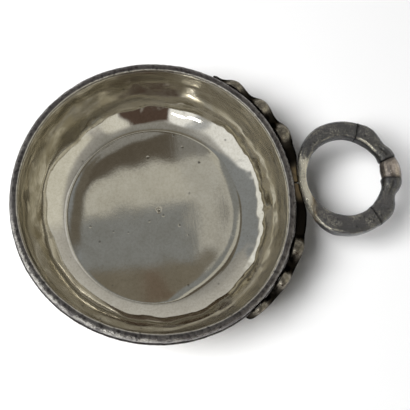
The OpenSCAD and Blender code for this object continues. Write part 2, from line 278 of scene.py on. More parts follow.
def stretch_thin(section, angles):
    """How far the hammer sank the inside, in mm.

    The cove sinks most half-way up, more on the ring's side and hardly at all in front on the
    left. The floor sinks with the fourth power of the radius, and on one side with the eighth.
    """
    r, z = section[:, :1], section[:, 1:]
    q = np.minimum(r / FLOOR_R, 1)
    on_floor = 0.1 * q ** 4 + 0.34 * facing(angles, SUNK_SIDE) ** 2 * q ** 8
    in_cove = 0.52 + 0.25 * facing(angles, RING_SIDE) - 0.56 * facing(angles, FULL_SIDE) ** 2
    in_cove = in_cove * smooth(r, FLOOR_R, FLOOR_R + 6) * (1 - smooth(z, 6.5, 14))
    return on_floor * (1 - smooth(z, 3, 8)) + in_cove


in_z, out_z = inner[:, 1:], outer[:, 1:]
up_cove = smooth(in_z, 1.6, 4.5)
by_ring = smooth(facing(turns, RING_SIDE), 0.6, 0.95) * up_cove * (1 - smooth(in_z, 8, 12))
in_lift = (0.006 + 0.1 * up_cove) * waves(in_places, 10, 11)
in_lift += 0.09 * up_cove * dishes(in_places, (blows_on(inner, 12), HAMMER_R), 1.0)
in_lift += 0.055 * by_ring * waves(in_places, 3.6, 13)
in_lift *= 1 - CALM * smooth(facing(turns, CALM_SIDE), 0.6, 0.95)
in_lift *= smooth(inner[:, :1], 1, 12) * (1 - LIP_CALM * smooth(in_z, 21, 23.5))
blow_aside = (turns - np.radians(BLOW_SIDE)) * BLOW_R
deep_blow = bell(blow_aside, BLOW_LONG) * bell(in_z - BLOW_Z, BLOW_TALL)
in_lift -= stretch_thin(inner, turns) + BLOW_DEEP * deep_blow
out_lift = 0.04 * waves(out_places, 13, 23)
out_lift += dishes(out_places, (blows_on(outer, 24), HAMMER_R), 0.08)
out_lift *= smooth(out_z, 0.2, 5) * (1 - smooth(out_z, 20, 22))
print("inside sunk by up to", np.round(-in_lift.min(), 2), "mm")

# %% [markdown]
# ## The raising mark and the bowl's skin
# The dividers leave a mark in the middle of the floor: a small cone with a raised lip round it. Then
# the two faces are joined into one closed skin. Its mouth follows the out-of-round line, which fades
# out on the way down to the true floor. Tarnish gathers high on the wall, where no cloth rubs.


# %% Punch the mark and close the bowl
def mouth_share(z):
    """How much of the mouth's out-of-round line reaches down to height z."""
    return smooth(z, 1.5, 21)


PUNCH, PUNCH_R, PUNCH_DEEP = (1.13, 1.13), 0.34, 0.45
BURR_R, BURR_W, BURR_H = 0.65, 0.2, 0.03
TARNISH_LOW, TARNISH_HIGH, OUTSIDE_SHARE, BLOW_LIGHT_STREAK = 4.0, 6.6, 0.85, 0.3
from_punch = np.hypot(in_places[..., 0] - PUNCH[0], in_places[..., 1] - PUNCH[1])
punch = np.where(in_z < 3, bell(from_punch, PUNCH_R), 0)
burr = np.where(in_z < 3, bell(from_punch - BURR_R, BURR_W), 0)
in_lift += BURR_H * burr - PUNCH_DEEP * punch
in_places = in_places + spun_normal(inner, turns) * in_lift[..., None]
out_places = out_places + spun_normal(outer, turns) * out_lift[..., None]
bowl_places = np.concatenate([in_places, out_places])
stretch = out_of_round(turns) * mouth_share(bowl_places[..., 2])
reach = np.maximum(np.hypot(bowl_places[..., 0], bowl_places[..., 1]), 1e-6)
bowl_places[..., :2] *= (1 + stretch / reach)[..., None]
uneven_z = bowl_places[..., 2] + 0.9 * waves(bowl_places, 9, 5)
high = smooth(uneven_z, TARNISH_LOW, TARNISH_HIGH)
# Painted highlight: the deep blow keeps less tarnish, a lighter streak on the wall.
high[:len(inner)] *= 1 - BLOW_LIGHT_STREAK * deep_blow
high[len(inner):] *= OUTSIDE_SHARE
bowl_marks = {"high_wall": high, "recess_and_shade": np.concatenate([punch, 0 * out_lift])}
bowl = skin("cup_bowl", bowl_places, marks=bowl_marks)

# %% [markdown]
# ## The rim wire
# The rim is a drawn wire soldered over the lip: a flat top, a roll, a fine groove and a bead. Its
# section is one closed line, softened only a little so that the edges stay crisp, and is then spun
# round the mouth like the bowl.

# %% Draw the rim's section
RIM_W, ROLL_R, BEAD_R, ROLL_IN, QUIRK, BEAD_LAP = 2.8, 1.5, 0.6, 0.45, 0.9, 0.25
RIM_R = MOUTH_R + RIM_W
ROLL = np.array([RIM_R - ROLL_IN - ROLL_R, TOP_Z - ROLL_R])
BEAD = np.array([RIM_R - BEAD_R, TOP_Z - 2 * ROLL_R + BEAD_LAP - BEAD_R])
RIM_LOW = BEAD[1] - BEAD_R
rim_line = np.vstack([
    [[MOUTH_R, LIP_Z], [MOUTH_R, TOP_Z - 0.3], [MOUTH_R + 0.3, TOP_Z - 0.02]],
    arc(ROLL, ROLL_R, np.radians(178), np.radians(52), 40),
    [[RIM_R - QUIRK, BEAD[1] + BEAD_R + 0.02]],
    arc(BEAD, BEAD_R, np.radians(150), np.radians(0), 24),
    [[LIP_OUT_R + 0.12, RIM_LOW + 0.1], [LIP_OUT_R + 0.02, LIP_Z]],
])
rim_section = read_off(soften(rim_line, 0.06, closed=True, step=0.02),
                       np.linspace(0, 1, 64, endpoint=False))
rim_r, rim_z = rim_section.T
print("rim section", np.round(np.ptp(rim_section, axis=0), 2), "mm")

# %% [markdown]
# Long years of stacking and wiping have pitted the flat top, nicked the roll and spread the wire
# a little in front. The pits lie at chance places, and the skin is let in by a hair, so that no
# nick stands out beyond the solid.

# %% Bend the rim round the mouth
PITS, PIT_DEEP, LET_IN, FRONT = 620, 0.12, 0.09, 252
rim_turns = np.linspace(0, 2 * np.pi, 1000, endpoint=False)
rim_places = spin(rim_section, rim_turns).transpose(1, 0, 2)
rim_normal = spin(np.gradient(rim_section, axis=0)[:, ::-1] * [-1, 1], rim_turns).transpose(1, 0, 2)
rim_normal /= np.linalg.norm(rim_normal, axis=-1, keepdims=True)
chance = np.random.default_rng(41)
pit_turn = chance.uniform(0, 2 * np.pi, PITS)
pit_r = MOUTH_R + chance.uniform(0.45, 2.3, PITS)
pit_z = np.full(PITS, TOP_Z - 0.05)
pit_places = np.stack([pit_r * np.cos(pit_turn), pit_r * np.sin(pit_turn), pit_z], -1)
rim_pits = pits(rim_places, pit_places, chance.uniform(0.12, 0.4, PITS))
rim_lift = 0.035 * waves(rim_places, 5, 43) + 0.02 * waves(rim_places, 1.6, 44)
rim_lift -= PIT_DEEP * rim_pits + LET_IN
rim_places = rim_places + np.sign(rim_normal[..., 2:].max()) * rim_normal * rim_lift[..., None]
rim_stretch = out_of_round(rim_turns)[:, None] * mouth_share(rim_places[..., 2])
spread = np.interp(rim_r, [MOUTH_R, MOUTH_R + 0.6, RIM_R - 0.3], [-0.15, 0.0, 0.23])
rim_stretch += spread * facing(rim_turns, FRONT)[:, None] ** 4
rim_reach = np.hypot(rim_places[..., 0], rim_places[..., 1])
rim_places[..., :2] *= (1 + rim_stretch / rim_reach)[..., None]
print("pits share", np.round((rim_pits > 0.5).mean(), 3), "of the rim")

# %% Where the rim is flat, worn, dark and given a painted highlight
GLINT_SIDE = 225
flat_top = smooth(rim_z, TOP_Z - 0.25, TOP_Z - 0.08) * smooth(rim_r, MOUTH_R + 0.2, MOUTH_R + 0.45)
worn_edge = bell(rim_r - MOUTH_R - 0.1, 0.26) * (rim_z > TOP_Z - 0.8)
groove = bell(rim_z - BEAD[1] - BEAD_R, 0.22) * (rim_r > MOUTH_R + 1.6)
roll_top = bell(rim_r - ROLL[0] - 0.85, 0.5) * (rim_z > ROLL[1])
# Painted highlight: on the side towards the window the roll's top is left clean and light, for its
# glints.
painted_roll_glint = roll_top * smooth(facing(rim_turns, GLINT_SIDE), 0.55, 0.95)[:, None]
painted_roll_glint *= np.clip(0.8 + 0.5 * waves(rim_places, 2.4, 47), 0, 1)
# The worn mark holds the lighter inner edge and the painted highlight on the roll.
rim_marks = {
    "recess_and_shade": np.clip(rim_pits + groove, 0, 1),
    "flat_top": np.broadcast_to(flat_top, rim_pits.shape).copy(),
    "worn": np.maximum(worn_edge, painted_roll_glint),
}
rim = skin("rim_wire", rim_places, closed_rows=True, marks=rim_marks)

# %% [markdown]
# ## The ring's path
# The ring lies level. Its inner edge is an ellipse, and every section stands on that edge and
# reaches out along the ellipse's normal. Sections are rounded squares: cosine and sine raised to
# a power below one push the outline towards the corners.

# %% Sections along the ring
HOLE_A, HOLE_B, RING_Z = 11.05, 11.5, 18.0
SOLDER, ROOT_T, LIMB_W = 0.05, 2.65, 2.5
UPPER_W, LOWER_W, ARM_H, GROW, ARM_SQUARE, LIMB_SQUARE = 4.9, 5.7, 4.9, 66, 4.2, 2.9
RING_TURN, SEAM, SCARF, SLANT, HEAD_A, NECK_SLANT = 1.6, 174, 213, 7, 64, 1.2


def wall_out_r(z):
    """Outside radius of the wall at height z: the cove's outer arc, then the leaning wall."""
    arc_top = COVE_Z - OUT_R * np.cos(STEEP)
    dip = np.minimum(np.abs(COVE_Z - z), OUT_R)
    on_arc = COVE_X + np.sqrt(OUT_R ** 2 - dip ** 2)
    return np.where(z > arc_top, LIP_OUT_R + (LIP_Z - z) * LEAN, on_arc)


RING_X = float(wall_out_r(np.array(RING_Z))) + 2 * SOLDER + ROOT_T + LIMB_W + HOLE_A


def ring_point(angle, out):
    """Point at an angle (degrees) round the ring, a distance out from the edge of the hole."""
    a = np.radians(angle)
    normal = np.stack([np.cos(a) / HOLE_A, np.sin(a) / HOLE_B], -1)
    normal /= np.linalg.norm(normal, axis=-1, keepdims=True)
    edge = np.stack([RING_X + HOLE_A * np.cos(a), HOLE_B * np.sin(a)], -1)
    return edge + normal * np.asarray(out)[..., None]


def power(value, exponent):
    """Signed power: keeps the sign and raises the size."""
    return np.sign(value) * np.abs(value) ** exponent


def ease(t):
    """Level start and end between 0 and 1."""
    return smooth(t, 0, 1)


def arm_size(angle):
    """Width, height and squareness of the arms, which grow from the limb to the heads."""
    grow = ease((np.abs(180 - angle) - 6) / GROW)
    full = np.where(angle < 180, UPPER_W, LOWER_W)
    width, height = LIMB_W + (full - LIMB_W) * grow, LIMB_W + (ARM_H - LIMB_W) * grow
    return width, height, LIMB_SQUARE + (ARM_SQUARE - LIMB_SQUARE) * grow


def ring_sections(angle, width, height, square, slant, sides, over=0.0):
    """Rounded squares along the ring; a slant swings the outer edge ahead of the inner one."""
    t = np.linspace(0, 2 * np.pi, sides, endpoint=False)
    across = power(np.cos(t), 2 / square[:, None])
    up = power(np.sin(t), 2 / square[:, None])
    inner_edge = ring_point(angle - slant, over + 0 * width)
    outer_edge = ring_point(angle + slant, over + width)
    share = (1 + across)[..., None] / 2
    flat = inner_edge[:, None] * (1 - share) + outer_edge[:, None] * share
    return np.concatenate([flat, (RING_Z + height[:, None] / 2 * up)[..., None]], -1)


def close_ends(sections, edge=0.12, steps=3):
    """Round the rim of both end faces: the last sections shrink towards their middle."""
    middle = sections.mean(1, keepdims=True)
    size = np.abs(sections - middle).max()
    shrink = 1 - edge / size * (1 - np.sin(np.linspace(0, np.pi / 2, steps + 1)))
    shrink = np.concatenate([shrink[:-1], np.ones(len(sections) - 2 * steps), shrink[:-1][::-1]])
    return middle + (sections - middle) * shrink[:, None, None]


# %% [markdown]
# The arms and the limb are stretches of that path. A file leaves them uneven by a few hundredths of
# a millimetre, and the solder at the scarf is lumpy. The marks for the finish come with the shape:
# dark joints, painted shade on the inner sides, silver rubbed bright beside the wall, a painted
# highlight on the edges that look towards the window lamp, the crust of solder, and faint streaks
# along the arm.

# %% Arms and limb
# The ring's edges that look towards the window lamp get a painted highlight.
RUBBED_FROM, RUBBED_TO, EDGE_GLINT_SIDE, CRUST_WIDE = 143, 157, 227, 6.0


def edge_highlight(turn, angle):
    """Share of painted highlight on the upper edges: only where the edge looks to the window lamp's
    side.
    """
    corner = smooth(np.sin(2 * turn) ** 2, 0.6, 0.98) * (np.sin(turn) > 0)
    looks = np.radians(angle)[:, None] + np.where(np.cos(turn) > 0, 0, np.pi)
    return corner * smooth(facing(looks, EDGE_GLINT_SIDE), 0.93, 0.998)


def inner_side_shade(turn):
    """Share of painted shade on the side of a section that looks into the ring."""
    return 0.75 * smooth(-np.cos(turn), 0.62, 0.98)


def arm(name, start, end, slants=(0, 0), count=90, sides=64, seed=0):
    """Arm between two angles, with waves of a hundredth of its size as file marks.

    Marks: one is 1 beside the wall, where the silver has been filed bright, and on the edges with a
    painted highlight; streak runs along the arm; crust is the lumpy solder at the scarf; and a dark one
    holds the joints and the painted shade on the inner side.
    """
    edge, span = np.array([0, 0.25, 0.6]), abs(end - start)
    run = np.linspace(1 / span, 1 - 1 / span, count)
    t = np.concatenate([edge / span, run, 1 - edge[::-1] / span])
    angle = start + (end - start) * t
    lean = slants[0] * (1 - t) ** 3 + slants[1] * t ** 3
    sections = ring_sections(angle, *arm_size(angle), lean, sides)
    middle = sections.mean(1, keepdims=True)
    at = angle[:, None]
    turn = np.linspace(0, 2 * np.pi, sides, endpoint=False)
    across = np.cos(turn) * SLANT
    crust = bell(at - SCARF - across, CRUST_WIDE) * (0.85 + 0.4 * waves(sections, 2.0, 57))
    file_marks = 0.012 * waves(sections, 6, seed) + 0.006 * waves(sections, 2.2, seed + 1)
    lumps = 0.05 * crust * (0.4 + waves(sections, 1.3, 58))
    sections = middle + (sections - middle) * (1 + (file_marks + lumps)[..., None])
    along = np.stack(np.broadcast_arrays(2.2 * np.cos(turn), 2.2 * np.sin(turn), at / 24), -1)
    rubbed_and_highlight = smooth(at + 5 * waves(along, 1.5, seed + 3), RUBBED_FROM, RUBBED_TO)
    rubbed_and_highlight *= 1 - smooth(at - across, SCARF, SCARF + 5)
    ends = np.minimum(np.abs(at - start), np.abs(at - end))
    # Dark joints at the ends, and painted shade on the inner side.
    dark = np.maximum(bell(ends, 0.8), inner_side_shade(turn) * (1 - 0.5 * rubbed_and_highlight))
    # The painted highlight on the edges joins the silver rubbed beside the wall.
    rubbed_and_highlight = np.maximum(rubbed_and_highlight, edge_highlight(turn, angle))
    marks = {"recess_and_shade": dark * (1 - 0.55 * rubbed_and_highlight), "rubbed_and_highlight": rubbed_and_highlight, "crust": np.clip(crust, 0, 1),
             "streak": waves(along, 0.9, seed + 2)}
    return skin(name, close_ends(sections), marks=marks)


UPPER_NECK, LOWER_NECK = RING_TURN + HEAD_A, RING_TURN - HEAD_A + 360
upper_arm = arm("upper_serpent_arm", UPPER_NECK, SEAM, slants=(NECK_SLANT, 0), seed=51)
wall_limb = arm("wall_limb", SEAM, SCARF, slants=(0, SLANT), count=44, seed=53)
lower_arm = arm("lower_serpent_arm", SCARF, LOWER_NECK, slants=(SLANT, -NECK_SLANT), seed=55)

# %% [markdown]
# ## The serpents' heads and the ball
# Each head is cast: square jaws behind, a narrow snout and flared lips with a furrow down the
# middle. It is a row of sections like the arms, but the width follows a curve along the head, and
# the last sections turn inwards on the ball's seat, so the mouth really is a cup.

# %% Heads that cup the ball
COLLAR, SWELL, SNOUT_W, LIP_T, LIP_SQUARE, HEAD_FLAT, FURROW = 0.1, 0.15, 4.3, 0.25, 2.3, 0.9, 0.5
JAW_LONG, SNOUT_LONG, LIPS_FROM, LIPS_LONG = 0.26, 0.4, 0.66, 0.3
BALL_R, BALL_HALF, BALL_LINE, BALL_LEAN, SWELL_R, SEAT = 3.0, 2.95, 2.65, 0.6, 9.7, 0.5
LIP_TURN = math.degrees(math.asin(BALL_HALF / (HOLE_B + BALL_LINE)))


def barrel_r(along):
    """Radius of the ball at a distance along it: a long arc, fullest towards the lower mouth."""
    return BALL_R - SWELL_R + np.sqrt(SWELL_R ** 2 - (along + BALL_LEAN) ** 2)


def ring_frame(angle, out):
    """Place on the ring, the direction out from it and the direction along it."""
    place = ring_point(np.array(float(angle)), np.array(out))
    way_out = ring_point(np.array(float(angle)), np.array(out + 1)) - place
    return np.append(place, RING_Z), np.append(way_out, 0), np.array([-way_out[1], way_out[0], 0])


def dome(side):
    """Centre and radius of the ball's domed end, and the frame of the mouth round it."""
    place, way_out, along = ring_frame(RING_TURN + side * LIP_TURN, BALL_LINE)
    grip = float(barrel_r(side * BALL_HALF))
    radius = (grip ** 2 + SEAT ** 2) / (2 * SEAT)
    return place + side * along * (SEAT - radius), radius, grip, way_out, side * along


def head_width(s, back, lips):
    """Width along a head from its back edge, 0, over jaws and snout to the lips, 1."""
    jaw = back + SWELL * ease(s / JAW_LONG)
    waist = jaw + (SNOUT_W - jaw) * ease((s - JAW_LONG) / SNOUT_LONG)
    return waist + (lips - SNOUT_W) * ease((s - LIPS_FROM) / LIPS_LONG)


def cup_rings(side, t):
    """Circles on the ball's seat that close in from the lips towards the middle of the mouth."""
    centre, radius, grip, way_out, inwards = dome(side)
    tilt = math.asin(grip / radius) * np.array([1, 0.75, 0.5, 0.25, 0.08])[:, None, None]
    ring = way_out * np.cos(t)[:, None] + np.array([0, 0, 1]) * np.sin(t)[:, None]
    return centre + (radius + SOLDER) * (inwards * np.cos(tilt) + ring * np.sin(tilt))


def head(name, side, back, sides=72, rows=84, seed=0):
    """Head from the neck to the lips, with furrows above and below, then the cup."""
    s = np.concatenate([[0, 0.006, 0.014], np.linspace(0.025, 1, rows)])
    angle = RING_TURN + side * (HEAD_A + (LIP_TURN - HEAD_A) * s)
    lips = 2 * (dome(side)[2] + LIP_T)
    width = head_width(s, back + 2 * COLLAR, lips) - 0.16 * ease((s - 0.96) / 0.04)
    flat = HEAD_FLAT + (1 - HEAD_FLAT) * ease((s - LIPS_FROM) / LIPS_LONG)
    height = ARM_H + 2 * COLLAR + (width * flat - ARM_H - 2 * COLLAR) * ease(s / 0.7)
    square = ARM_SQUARE + (LIP_SQUARE - ARM_SQUARE) * ease(s / 0.9)
    neck = 1 - 0.05 * (1 - ease(s / 0.016))
    over = (BALL_LINE - width / 2) * ease((s - 0.6) / 0.36) - COLLAR * (1 - s)
    slant = side * NECK_SLANT * (1 - ease(s / 0.5))
    sections = ring_sections(angle, width, height * neck, square, slant, sides, over)
    t = np.linspace(0, 2 * np.pi, sides, endpoint=False)
    across = power(np.cos(t), 2 / square[:, None])
    run_out = (ease((s - 0.45) / 0.3) * (1 - ease((s - 0.9) / 0.1)))[:, None]
    cut = FURROW * run_out * bell(across, 0.2) * np.sign(np.sin(t))
    sections[..., 2] -= cut
    middle = sections.mean(1, keepdims=True)
    cast_marks = 0.012 * waves(sections, 3, seed) + 0.008 * waves(sections, 1.2, seed + 1)
    sections = middle + (sections - middle) * (1 + cast_marks[..., None])
    furrow = np.abs(cut) / FURROW * 0.7
    neck_dark = (bell(s, 0.03) + bell(s - 1, 0.025))[:, None]
    cup = cup_rings(side, t)
    # Dark furrow and joints, and painted shade on the inner side.
    dark = np.clip(furrow + neck_dark + inner_side_shade(t), 0, 1)
    recess_and_shade = np.concatenate([dark, np.ones(cup.shape[:2])])
    # Painted highlight on the upper edges; none on the cup.
    rubbed_and_highlight = np.concatenate([edge_highlight(t, angle), np.zeros(cup.shape[:2])])
    return skin(name, np.concatenate([sections, cup]), marks={"recess_and_shade": recess_and_shade, "rubbed_and_highlight": rubbed_and_highlight})


upper_head = head("upper_serpent_head", 1, UPPER_W, seed=61)
lower_head = head("lower_serpent_head", -1, LOWER_W, seed=63)

# %% [markdown]
# The ball is a short barrel with a domed end in each mouth. It is found by rays from its middle:
# along each ray the surface lies at the nearest of the barrel's side and the two domes. The
# barrel's distance has no plain formula, so it is found by halving an interval forty times.


# %% The ball in the serpents' mouths
def to_sphere(start, ways, centre, radius):
    """Distance from a start inside a sphere along each direction to the sphere."""
    away = start - centre
    forward = ways @ away
    return -forward + np.sqrt(forward ** 2 - away @ away + radius ** 2)


def to_barrel(ways, along):
    """Distance along each direction to the barrel's side, by halving."""
    run = ways @ along
    spread = np.sqrt(np.maximum(1 - run ** 2, 1e-9))
    near, far = np.zeros_like(run), np.full_like(run, 5.0)
    for _ in range(40):
        mid = (near + far) / 2
        inside_it = mid * spread < barrel_r(np.clip(mid * run, -5, 5))
        near, far = np.where(inside_it, mid, near), np.where(inside_it, far, mid)
    return near


BLEND, BALL_IN, SHADE_INSIDE, SHADE_BELOW = 0.06, 0.02, 0.8, 0.6
BALL_C, ball_out, ball_along = ring_frame(RING_TURN, BALL_LINE)
polar = np.linspace(0.02, np.pi - 0.02, 90)[:, None]
spun = np.linspace(0, 2 * np.pi, 96, endpoint=False)
ball_way = (np.cos(polar)[..., None] * ball_along + (np.sin(polar) * np.cos(spun))[..., None] * ball_out
            + (np.sin(polar) * np.sin(spun))[..., None] * np.array([0, 0, 1]))
ball_far = to_barrel(ball_way, ball_along)
ball_ends = np.minimum(*(to_sphere(BALL_C, ball_way, *dome(side)[:2]) for side in (1, -1)))
ball_reach = -BLEND * np.logaddexp(-ball_far / BLEND, -ball_ends / BLEND) - BALL_IN
ball_wear = 0.02 * waves(ball_way * BALL_R, 2.5, 71) + 0.008 * waves(ball_way * BALL_R, 0.9, 72)
ball_places = BALL_C + ball_way * (ball_reach + np.minimum(ball_wear, BALL_IN))[..., None]
# Painted shade: darker towards the mouths, on the side that looks into the ring and on the lower half.
ball_shade = smooth(ball_far - ball_ends, -1.5, 0.1)
ball_shade = np.maximum(ball_shade, SHADE_INSIDE * smooth(-ball_way @ ball_out, 0.45, 0.9))
ball_shade = np.maximum(ball_shade, SHADE_BELOW * smooth(1 - ball_way[..., 2], 0.1, 0.5))
ball = skin("held_ball", ball_places, marks={"recess_and_shade": ball_shade})

# %% [markdown]
# ## The tails
# Each tail is a wire hammered to a taper and bent in waves. Its crests rise beside the rim and its
# valleys hang under it. The inner side is held off the wall and the bead by a fit line, so the
# section is an oval whose inner half is pushed out to that line wherever it would cut in.

# %% Waved tails fitted to wall and rim
TAIL_T, TIP_T, TAIL_H, TIP_H = 4.5, 2.7, 3.3, 2.0
CREST_DROP, WAVE_H, PITCH, RIM_GAP, FLAT_ROOM, ROOT_GAP = 1.4, 3.5, 13.6, 0.15, 0.25, 0.6
WALL_R = float(wall_out_r(np.array(RING_Z)))
HUG = 0.38 * math.radians(WALL_R) ** 2 * (1 / WALL_R + 1 / (HOLE_B ** 2 / HOLE_A + LIMB_W))


def tail_share(a, crest, end):
    """0 at the root, 1 at the first crest, 2 at the tip."""
    return np.where(a < crest, ease((a - 4) / (crest - 6)), 1 + (a - crest) / (end - crest))


def tail_size(share, root, crest, tip):
    """Size that blends from root to crest and then tapers to the tip."""
    taper = np.maximum(share - 1, 0) ** 1.2
    return np.where(share < 1, root + (crest - root) * share, crest + (tip - crest) * taper)


def tail_reach(a, crest, end):
    """Reach out from the wall: beside the ring it fills the widening room there, then tapers."""
    more = TAIL_T - ROOT_T
    fill = HUG * a ** 2 / more
    beside = ROOT_T + more * fill / (1 + fill ** 4) ** 0.25
    return np.where(a < crest, beside, tail_size(tail_share(a, crest, end), ROOT_T, TAIL_T, TIP_T))


def tail_height(a, crest, end):
    """Height of the tail's middle: level at the root, then a cosine wave under the rim's top."""
    valley = crest - PITCH / 2
    thick = tail_size(tail_share(a, crest, end), TAIL_H, TAIL_H, TIP_H)
    top = TOP_Z - CREST_DROP - thick / 2
    wave = top - WAVE_H * (1 - np.cos(2 * np.pi * (a - crest) / PITCH)) / 2
    rise = RING_Z + (top - WAVE_H - RING_Z) * ease((a - 4) / (valley - 4))
    return np.where(a < valley, rise, wave)


def fit_line(z):
    """Radius that the tails keep clear of: the wall, and the bead of the rim higher up."""
    bead_side = np.minimum(RIM_R, RIM_R - 1.3 * (RIM_LOW - RIM_GAP - FLAT_ROOM - z))
    return SOLDER + np.maximum(wall_out_r(z), bead_side)


def tail(name, side, crest, end, sides=36, rows=190, seed=0):
    """Tail from its root behind the limb to its rounded tip.

    crest and end are the angles, in degrees round the bowl, of the first crest and of the tip.
    """
    start = math.degrees(ROOT_GAP / 2 / WALL_R)
    tip = math.degrees(TIP_T / 2 / RIM_R)
    round_off = np.linspace(0.1, np.pi / 2 - 0.08, 9)
    a = np.concatenate([np.linspace(start, end - tip, rows), end - tip * (1 - np.sin(round_off))])
    shrink = np.concatenate([np.ones(rows), np.cos(round_off)])[:, None]
    share = tail_share(a, crest, end)
    thick = tail_reach(a, crest, end)[:, None]
    z = tail_height(a, crest, end)
    wall = WALL_R + SOLDER
    slope = np.gradient(z, np.radians(a) * (wall + thick[:, 0]))
    tall = (tail_size(share, TAIL_H, TAIL_H, TIP_H) * (1 + slope ** 2) ** 0.3)[:, None]
    turn = np.radians(side * a)[:, None]
    bulge = out_of_round(turn) * smooth(a, 8, 22)[:, None]
    t = side * np.linspace(0, 2 * np.pi, sides, endpoint=False)
    up = tall / 2 * power(np.sin(t), 0.9)
    outer_side = wall + thick + np.maximum(bulge, 0)
    free = outer_side - thick / 2 * (1 - power(np.cos(t), 0.9))
    held = fit_line(z[:, None] + up) + out_of_round(turn)
    r = np.maximum(free, held)
    middle = (fit_line(z[:, None]) + out_of_round(turn) + outer_side) / 2
    r, height = middle + (r - middle) * shrink, z[:, None] + up * shrink
    places = np.stack([r * np.cos(turn), r * np.sin(turn), height + 0 * r], -1)
    # Darker with depth below the rim's top: tarnish in the valleys and painted shade under the rim.
    low = smooth(TOP_Z - CREST_DROP - height, 0.3, WAVE_H + 0.6)
    root = (1 - smooth(a, 5, 9))[:, None]
    marks = {"recess_and_shade": low * (1 - 0.9 * root) * np.ones_like(r),
             "crest": smooth(height - RIM_LOW, -0.4, 2.1) * np.ones_like(r),
             "crust": root * (0.8 + 0.3 * waves(places, 1.6, seed))}
    return skin(name, places, marks=marks)


upper_tail = tail("upper_tail", 1, crest=20.4, end=57.6, seed=81)
lower_tail = tail("lower_tail", -1, crest=27.0, end=60.4, seed=83)

# %% [markdown]
# ## Finishes
# All pieces are the same old silver, and they differ in how far the tarnish has been rubbed off, and in
# their painted shade and highlights.
# What they share is built once as node groups: clouds of tarnish, fine scratches and small pits.
# Every group gives only masks and heights; the metal shader itself stays in each material, where an
# exporter can read it.


# %% Node group helpers
def new_group(name, inputs, outputs):
    """Shader node group with named float inputs (name: value) and typed outputs."""
    group = bpy.data.node_groups.new(name, "ShaderNodeTree")
    for label, value in inputs.items():
        socket = group.interface.new_socket(label, in_out="INPUT", socket_type="NodeSocketFloat")
        socket.default_value = value
    for label in outputs:
        group.interface.new_socket(label, in_out="OUTPUT", socket_type="NodeSocketFloat")
    return group, group.nodes.new("NodeGroupInput"), group.nodes.new("NodeGroupOutput")


def add(tree, kind, **values):
    """New node with its properties and unlinked inputs set by name or number."""
    node = tree.nodes.new(kind)
    for key, value in values.items():
        if hasattr(node, key):
            setattr(node, key, value)
        else:
            node.inputs[key.replace("_", " ")].default_value = value
    return node


def sums(tree, operation, first, second, clamp=False):
    """Math node of two links or numbers; gives its output socket."""
    node = tree.nodes.new("ShaderNodeMath")
    node.operation, node.use_clamp = operation, clamp
    for slot, value in zip(node.inputs, (first, second)):
        if isinstance(value, (int, float)):
            slot.default_value = value
        else:
            tree.links.new(value, slot)
    return node.outputs[0]


def ramp(tree, value, low, high, out_low=0.0, out_high=1.0):
    """Smooth step of a value between low and high, mapped to an outgoing range."""
    node = tree.nodes.new("ShaderNodeMapRange")
    node.interpolation_type = "SMOOTHSTEP"
    tree.links.new(value, node.inputs["Value"])
    for slot, number in zip(node.inputs[1:5], (low, high, out_low, out_high)):
        slot.default_value = number
    return node.outputs["Result"]


# %% Group: clouds of tarnish
clouds_group, c_in, c_out = new_group("tarnish_clouds", {"Scale": 120.0, "Detail": 5.0},
                                      ["Cloud", "Speck"])
place = clouds_group.nodes.new("ShaderNodeTexCoord").outputs["Object"]
cloud = add(clouds_group, "ShaderNodeTexNoise", Roughness=0.62, Distortion=0.6)
speck = add(clouds_group, "ShaderNodeTexNoise", Roughness=0.7)
for node in (cloud, speck):
    clouds_group.links.new(place, node.inputs["Vector"])
    clouds_group.links.new(c_in.outputs["Detail"], node.inputs["Detail"])
clouds_group.links.new(c_in.outputs["Scale"], cloud.inputs["Scale"])
SPECKS_PER_CLOUD = 9.0
finer = sums(clouds_group, "MULTIPLY", c_in.outputs["Scale"], SPECKS_PER_CLOUD)
clouds_group.links.new(finer, speck.inputs["Scale"])
clouds_group.links.new(ramp(clouds_group, cloud.outputs["Fac"], 0.32, 0.68), c_out.inputs["Cloud"])
clouds_group.links.new(ramp(clouds_group, speck.outputs["Fac"], 0.4, 0.66), c_out.inputs["Speck"])
print(clouds_group.name, "has", len(clouds_group.nodes), "nodes")

# %% Group: fine scratches from wiping
scratch_group, s_in, s_out = new_group("wiping_scratches", {"Scale": 900.0}, ["Height"])
place = scratch_group.nodes.new("ShaderNodeTexCoord").outputs["Object"]
heights = []
for turn in (0.5, 2.1, 3.7):
    mapping = add(scratch_group, "ShaderNodeMapping")
    mapping.inputs["Rotation"].default_value = (0.3 * turn, 0.2, turn)
    mapping.inputs["Scale"].default_value = (1.0, 0.06, 0.3)
    scratch_group.links.new(place, mapping.inputs["Vector"])
    streak = add(scratch_group, "ShaderNodeTexNoise", Detail=3.0, Roughness=0.6)
    scratch_group.links.new(mapping.outputs[0], streak.inputs["Vector"])
    scratch_group.links.new(s_in.outputs["Scale"], streak.inputs["Scale"])
    heights.append(streak.outputs["Fac"])
total = sums(scratch_group, "ADD", sums(scratch_group, "ADD", heights[0], heights[1]), heights[2])
scratch_group.links.new(sums(scratch_group, "MULTIPLY", total, 1 / 3), s_out.inputs["Height"])
print(scratch_group.name, "has", len(scratch_group.nodes), "nodes")

